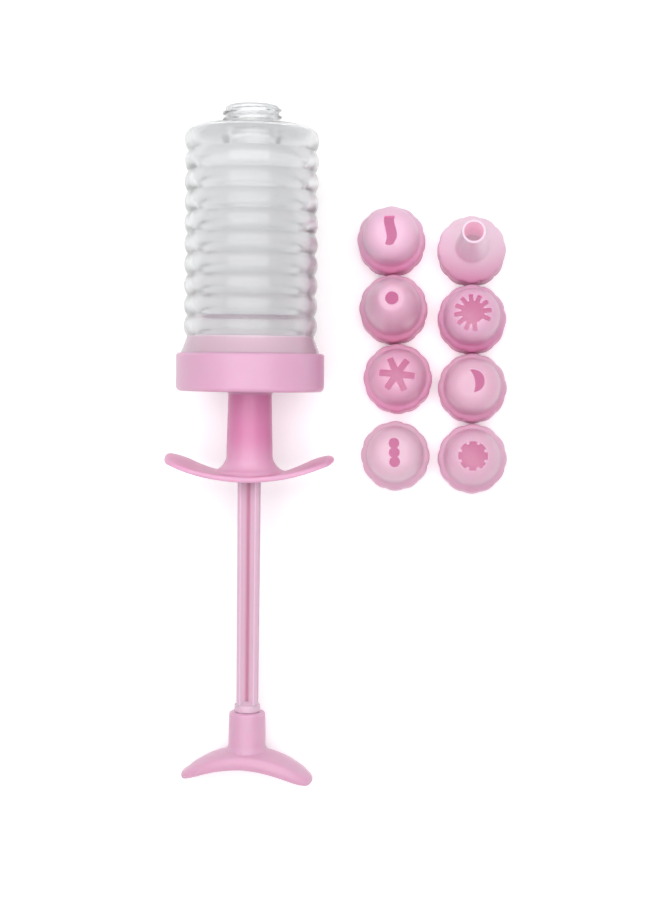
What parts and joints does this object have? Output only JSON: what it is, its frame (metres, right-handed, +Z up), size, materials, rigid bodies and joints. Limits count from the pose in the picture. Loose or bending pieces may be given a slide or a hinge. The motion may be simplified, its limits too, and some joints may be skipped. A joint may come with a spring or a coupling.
{
  "type": "icing pen with nozzles",
  "caption": "Plunger-type icing pen with a clear ribbed barrel, a pink finger grip and thumb rest, and loose pink nozzles standing on the table beside it.",
  "frame": {"origin": "on the table, under the middle of the whole set", "axes": "+Y from the thumb rest towards the barrel's mouth, seen from above; +X towards the nozzles; +Z up"},
  "size_m": [0.1354, 0.2658, 0.0668],
  "materials": {
    "pink_plastic": "satin gloss",
    "clear_plastic": "clear, glossy",
    "seal_rubber": "soft"
  },
  "bodies": {
    "grip": {"rear_cap": "pink_plastic"},
    "barrel_unit": {"barrel": "clear_plastic"},
    "piston_unit": {"piston": "pink_plastic", "piston_seal": "seal_rubber"},
    "plunger": {"plunger_rod": "pink_plastic", "thumb_rest": "pink_plastic"},
    "nozzle_wave_unit": {"nozzle_wave": "pink_plastic"},
    "nozzle_round_unit": {"nozzle_round": "pink_plastic"},
    "nozzle_star_six_unit": {"nozzle_star_six": "pink_plastic"},
    "nozzle_triple_unit": {"nozzle_triple": "pink_plastic"},
    "nozzle_filling_tube_unit": {"nozzle_filling_tube": "pink_plastic"},
    "nozzle_star_large_unit": {"nozzle_star_large": "pink_plastic"},
    "nozzle_crescent_unit": {"nozzle_crescent": "pink_plastic"},
    "nozzle_rosette_unit": {"nozzle_rosette": "pink_plastic"}
  },
  "joints": [
    {"name": "plunge", "type": "slide", "parent": "grip", "child": "piston_unit", "axis": [0, 0.9924, 0.1229], "range_m": [0, 0.08]},
    {"name": "plunger_spin", "type": "hinge", "parent": "piston_unit", "child": "plunger", "pos_m": [-0.03408, 0.02142, 0.02865], "axis": [0, 0.9924, 0.1229], "continuous": true},
    {"name": "barrel_twist", "type": "hinge", "parent": "grip", "child": "barrel_unit", "pos_m": [-0.03408, 0.02142, 0.02865], "axis": [0, -0.9924, -0.1229], "range_deg": [0, 30]},
    {"name": "nozzle_wave_lift", "type": "slide", "parent": "grip", "child": "nozzle_wave_unit", "axis": [0, 0, 1], "range_m": [0, 0.06]},
    {"name": "nozzle_round_lift", "type": "slide", "parent": "grip", "child": "nozzle_round_unit", "axis": [0, 0, 1], "range_m": [0, 0.06]},
    {"name": "nozzle_star_six_lift", "type": "slide", "parent": "grip", "child": "nozzle_star_six_unit", "axis": [0, 0, 1], "range_m": [0, 0.06]},
    {"name": "nozzle_triple_lift", "type": "slide", "parent": "grip", "child": "nozzle_triple_unit", "axis": [0, 0, 1], "range_m": [0, 0.06]},
    {"name": "nozzle_filling_tube_lift", "type": "slide", "parent": "grip", "child": "nozzle_filling_tube_unit", "axis": [0, 0, 1], "range_m": [0, 0.06]},
    {"name": "nozzle_star_large_lift", "type": "slide", "parent": "grip", "child": "nozzle_star_large_unit", "axis": [0, 0, 1], "range_m": [0, 0.06]},
    {"name": "nozzle_crescent_lift", "type": "slide", "parent": "grip", "child": "nozzle_crescent_unit", "axis": [0, 0, 1], "range_m": [0, 0.06]},
    {"name": "nozzle_rosette_lift", "type": "slide", "parent": "grip", "child": "nozzle_rosette_unit", "axis": [0, 0, 1], "range_m": [0, 0.06]}
  ]
}
